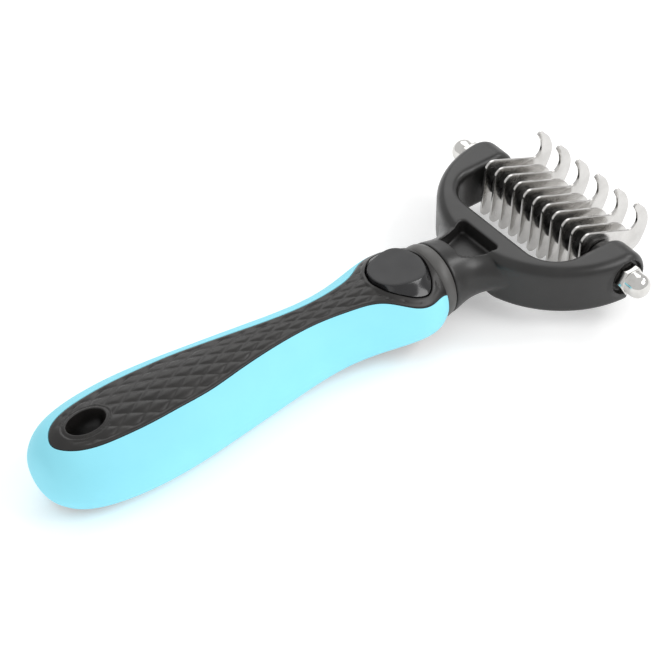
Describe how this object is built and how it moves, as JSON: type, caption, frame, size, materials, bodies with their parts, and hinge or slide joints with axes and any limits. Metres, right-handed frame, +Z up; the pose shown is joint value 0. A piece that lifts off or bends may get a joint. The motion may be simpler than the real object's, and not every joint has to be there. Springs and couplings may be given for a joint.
{
  "type": "dematting comb",
  "caption": "Pet grooming comb with a soft two-material handle, a thumb release button and a detachable yoke that carries a row of hooked and straight steel blades on one axle.",
  "frame": {"origin": "under the middle of the comb, level with the lowest point of the grip", "axes": "+X from the butt of the handle to the hooks, +Y to the left of the user, +Z up, out of the button"},
  "size_m": [0.2008, 0.0864, 0.0268],
  "materials": {
    "handle_shell": "black moulded plastic, quilted panel with a soft gloss",
    "grip": "matte light-blue soft-touch rubber",
    "collar": "smooth black plastic",
    "button": "matte dark-grey pad with a glossy skirt",
    "spring": "plain spring steel",
    "yoke": "satin black plastic with a fine grain",
    "blades": "polished stainless steel",
    "spacers": "black plastic",
    "axle": "plain steel",
    "nuts": "bright nickel plate"
  },
  "bodies": {
    "handle": {"shell_top": "handle_shell", "shell_bottom": "handle_shell", "grip_sleeve": "grip", "collar_ring": "collar", "button_spring": "spring"},
    "button": {"release_button": "button"},
    "head": {"yoke": "yoke", "blade_01": "blades", "blade_02": "blades", "blade_03": "blades", "blade_04": "blades", "blade_05": "blades", "blade_06": "blades", "blade_07": "blades", "blade_08": "blades", "blade_09": "blades", "blade_10": "blades", "blade_11": "blades", "spacer_01": "spacers", "spacer_02": "spacers", "spacer_03": "spacers", "spacer_04": "spacers", "spacer_05": "spacers", "spacer_06": "spacers", "spacer_07": "spacers", "spacer_08": "spacers", "spacer_09": "spacers", "spacer_10": "spacers", "axle_rod": "axle", "acorn_nut_left": "nuts", "acorn_nut_right": "nuts"}
  },
  "joints": [
    {"name": "button_press", "type": "slide", "parent": "handle", "child": "button", "axis": [0, 0, -1], "range_m": [0, 0.002], "stiffness_N_per_m": 1200, "springref_m": -0.001, "deforming": ["button_spring"]},
    {"name": "head_release", "type": "slide", "parent": "handle", "child": "head", "axis": [1, 0, 0], "range_m": [0, 0.042]}
  ]
}
